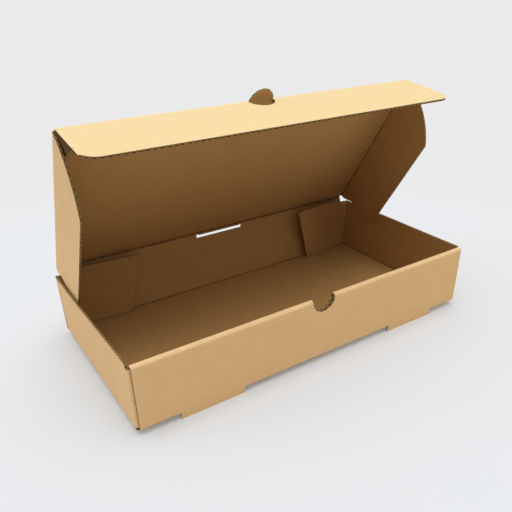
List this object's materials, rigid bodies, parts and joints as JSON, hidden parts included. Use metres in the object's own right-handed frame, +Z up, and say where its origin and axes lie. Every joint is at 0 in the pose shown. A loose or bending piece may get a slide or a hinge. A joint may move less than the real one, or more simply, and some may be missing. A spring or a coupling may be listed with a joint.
{
  "type": "calzone box",
  "caption": "Long, low corrugated board box with a hinged tuck-in lid, side wings, thumb tab, finger notch, vent slot and small feet.",
  "frame": {"origin": "middle of the underside of the tray's base", "axes": "+X along the front to the right as seen from the front, +Y to the back, +Z up"},
  "size_m": [0.3, 0.1537, 0.1884],
  "materials": {
    "kraft_board": "matt uncoated kraft liner over fine flutes, brown cut edges"
  },
  "bodies": {
    "tray": {"tray": "kraft_board"},
    "lid": {"lid": "kraft_board"},
    "tuck_flap": {"tuck_flap": "kraft_board"}
  },
  "joints": [
    {"name": "lid_hinge", "type": "hinge", "parent": "tray", "child": "lid", "pos_m": [0, 0.07796, 0.055], "axis": [-1, 0, 0], "range_deg": [-59.4, 112.5]},
    {"name": "flap_hinge", "type": "hinge", "parent": "lid", "child": "tuck_flap", "pos_m": [0, 0.00314, 0.17474], "axis": [1, 0, 0], "range_deg": [-67.5, 35.64]}
  ],
  "couplings": [
    {"joint": "flap_hinge", "follows": "lid_hinge", "ratio": -0.6}
  ]
}
